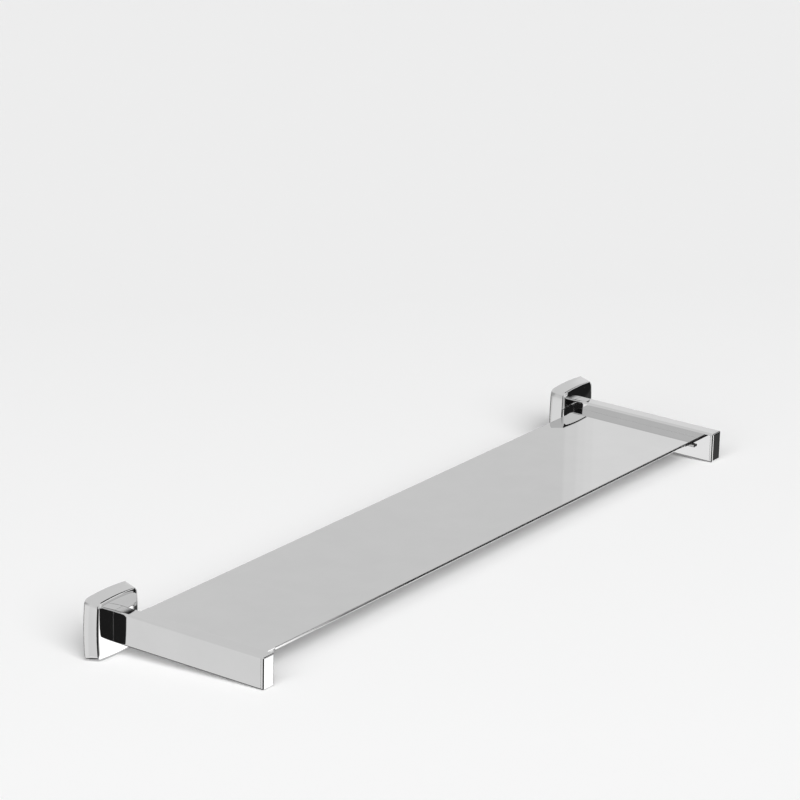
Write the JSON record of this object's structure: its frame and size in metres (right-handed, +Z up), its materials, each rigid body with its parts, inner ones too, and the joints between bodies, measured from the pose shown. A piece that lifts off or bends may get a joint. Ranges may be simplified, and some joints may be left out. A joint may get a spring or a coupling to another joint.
{
  "type": "wall shelf with brackets",
  "caption": "Narrow polished metal wall shelf between bright rectangular arms on square flanges that hook over concealed wall plates.",
  "frame": {"origin": "on the wall plane, midway between the two flanges, at the height of the flange centres", "axes": "+X along the shelf, to the right seen from the front; +Y into the wall, so the shelf stands out toward -Y; +Z up"},
  "size_m": [0.6604, 0.1524, 0.0508],
  "materials": {
    "polished_sheet": "bright polished stainless sheet",
    "polished_arm": "bright polished stainless tube",
    "polished_cap": "bright polished stainless end face",
    "polished_flange": "bright polished pressed stainless shell",
    "rod_steel": "plain drawn stainless rod",
    "lug_steel": "plain stamped stainless",
    "block_steel": "machined steel",
    "bracket_steel": "mill finish stamped steel",
    "plate_steel": "zinc plated stamped steel",
    "fastener_steel": "zinc plated fasteners",
    "washer_steel": "zinc plated washers",
    "black_steel": "black oxide set screw"
  },
  "bodies": {
    "root": {"shelf_panel": "polished_sheet", "shelf_studs": "fastener_steel", "shelf_nuts": "fastener_steel", "arm_left": "polished_arm", "arm_right": "polished_arm", "arm_cap_left": "polished_cap", "arm_cap_right": "polished_cap", "arm_block_left": "block_steel", "arm_block_right": "block_steel", "arm_bolts_left": "fastener_steel", "arm_bolts_right": "fastener_steel", "arm_washers_left": "washer_steel", "arm_washers_right": "washer_steel", "flange_left": "polished_flange", "flange_right": "polished_flange", "bracket_left": "bracket_steel", "bracket_right": "bracket_steel", "wall_plate_left": "plate_steel", "wall_plate_right": "plate_steel", "set_screw_left": "black_steel", "set_screw_right": "black_steel", "set_nut_left": "fastener_steel", "set_nut_right": "fastener_steel", "support_rod_left": "rod_steel", "support_rod_right": "rod_steel", "support_lugs_left": "lug_steel", "support_lugs_right": "lug_steel"}
  },
  "joints": []
}
